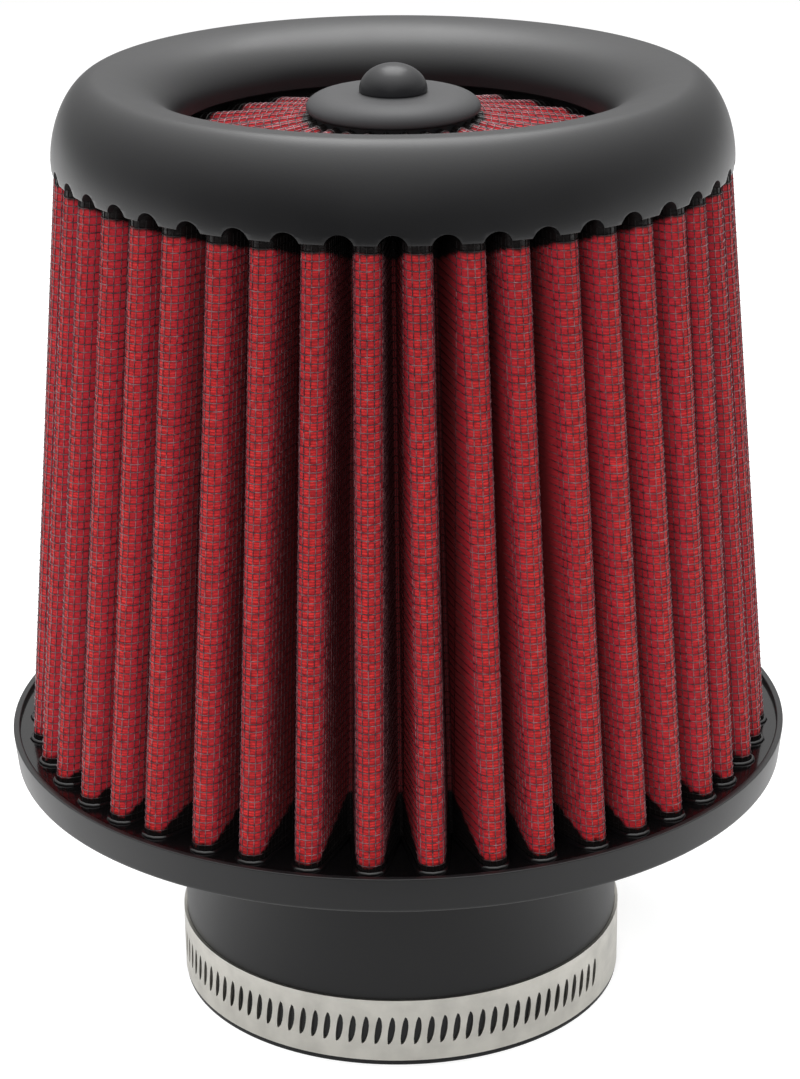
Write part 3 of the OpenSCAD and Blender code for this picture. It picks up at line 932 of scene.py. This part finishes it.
studio = {
    "floor": 3.0, "floorMiddle": 1.2, "floorDrop": 0.02 * mm,
    "floorPaint": 0.55, "floorGlow": 0.62, "floorFront": 0.18, "floorSide": 1.0,
    "asideFrom": 0.04, "asideTo": 0.16, "behindFrom": -0.02, "behindTo": 0.1,
    "plain": 0.45, "glossyFront": 0.08, "glossySide": 0.5, "glossyTop": 3.2,
    "aroundFrom": -0.6, "aroundTo": 0.2, "topPower": 2.5,
}

deselectAll()
bpy.ops.mesh.primitive_plane_add(size=studio["floor"],
                                 location=(0, studio["floorMiddle"], -studio["floorDrop"]))
floor = activeObject()
floor.name = "floor"
floorPaint = bpy.data.materials.new("floorPaint")
floorPaint.use_nodes = True
tree = floorPaint.node_tree
tree.nodes.clear()
lightPath = addNode(tree, "ShaderNodeLightPath")
matte = addNode(tree, "ShaderNodeBsdfDiffuse")
matte.inputs["Color"].default_value = (*[studio["floorPaint"]] * 3, 1)
glow = addNode(tree, "ShaderNodeEmission")
glow.inputs["Color"].default_value = (1, 1, 1, 1)
seen = calc(tree, "MULTIPLY", lightPath.outputs["Is Camera Ray"], studio["floorGlow"])
split = objectSplit(tree)
aside = remap(tree, calc(tree, "ABSOLUTE", split["X"]), studio["asideFrom"], studio["asideTo"],
              studio["floorFront"], studio["floorSide"])
behind = remap(tree, split["Y"], studio["behindFrom"], studio["behindTo"],
               studio["floorFront"], studio["floorSide"])
shine = calc(tree, "MULTIPLY", calc(tree, "MAXIMUM", aside, behind),
             lightPath.outputs["Is Glossy Ray"])
tree.links.new(calc(tree, "ADD", seen, shine), glow.inputs["Strength"])
both = addNode(tree, "ShaderNodeAddShader")
tree.links.new(matte.outputs[0], both.inputs[0])
tree.links.new(glow.outputs[0], both.inputs[1])
out = addNode(tree, "ShaderNodeOutputMaterial")
tree.links.new(both.outputs[0], out.inputs["Surface"])
floor.data.materials.append(floorPaint)

world = bpy.data.worlds.new("studioWorld")
bpy.context.scene.world = world
world.use_nodes = True
tree = world.node_tree
tree.nodes.clear()
coords = addNode(tree, "ShaderNodeTexCoord")
split = addNode(tree, "ShaderNodeSeparateXYZ")
tree.links.new(coords.outputs["Generated"], split.inputs[0])
lightPath = addNode(tree, "ShaderNodeLightPath")
around = remap(tree, split.outputs["Y"], studio["aroundFrom"], studio["aroundTo"],
               studio["glossyFront"], studio["glossySide"])
upward = calc(tree, "MAXIMUM", split.outputs["Z"], 0.0)
above = calc(tree, "MULTIPLY", calc(tree, "POWER", upward, studio["topPower"]),
             studio["glossyTop"])
mirrored = calc(tree, "MULTIPLY", calc(tree, "ADD", around, above),
                lightPath.outputs["Is Glossy Ray"])
plain = calc(tree, "MULTIPLY", lightPath.outputs["Is Diffuse Ray"], studio["plain"])
strength = calc(tree, "MAXIMUM", calc(tree, "ADD", mirrored, plain),
                lightPath.outputs["Is Camera Ray"])
background = addNode(tree, "ShaderNodeBackground")
background.inputs["Color"].default_value = (1, 1, 1, 1)
tree.links.new(strength, background.inputs["Strength"])
out = addNode(tree, "ShaderNodeOutputWorld")
tree.links.new(background.outputs[0], out.inputs["Surface"])


def softbox(name, place, aim, wide, high, watts):
    deselectAll()
    bpy.ops.object.light_add(type="AREA", location=place)
    lamp = activeObject()
    lamp.name = name
    lamp.data.shape = "RECTANGLE"
    lamp.data.size = wide
    lamp.data.size_y = high
    lamp.data.energy = watts
    lamp.rotation_euler = (Vector(aim) - Vector(place)).to_track_quat("-Z", "Y").to_euler()


lamps = {
    "front": ((-0.12, -0.95, 0.55), (0, 0, 0.1), 0.6, 0.5, 8.0),
    "overhead": ((0.0, 0.34, 0.85), (0, 0, 0.15), 0.45, 0.55, 3.6),
    "leftSide": ((-0.75, 0.15, 0.45), (-0.2, 0, 0.05), 0.7, 0.6, 5.0),
    "rightSide": ((0.75, 0.15, 0.45), (0.2, 0, 0.05), 0.7, 0.6, 3.8),
}
for lampName, (place, aim, wide, high, watts) in lamps.items():
    softbox(lampName, place, aim, wide, high, watts)
for lampName in ("front", "leftSide", "rightSide"):
    bpy.data.objects[lampName].visible_glossy = False

viewpoint = {
    "x": 0.015, "y": -0.5307, "z": 0.2930, "down": 20.8,
    "lens": 96.96, "sensor": 36, "shift": -0.0691,
}
deselectAll()
bpy.ops.object.camera_add(location=(viewpoint["x"], viewpoint["y"], viewpoint["z"]),
                          rotation=(math.radians(90 - viewpoint["down"]), 0, 0))
camera = activeObject()
camera.data.sensor_width = viewpoint["sensor"]
camera.data.lens = viewpoint["lens"]
camera.data.shift_x = viewpoint["shift"]
bpy.context.scene.camera = camera
bpy.context.scene.view_settings.view_transform = "Standard"

print("finish")
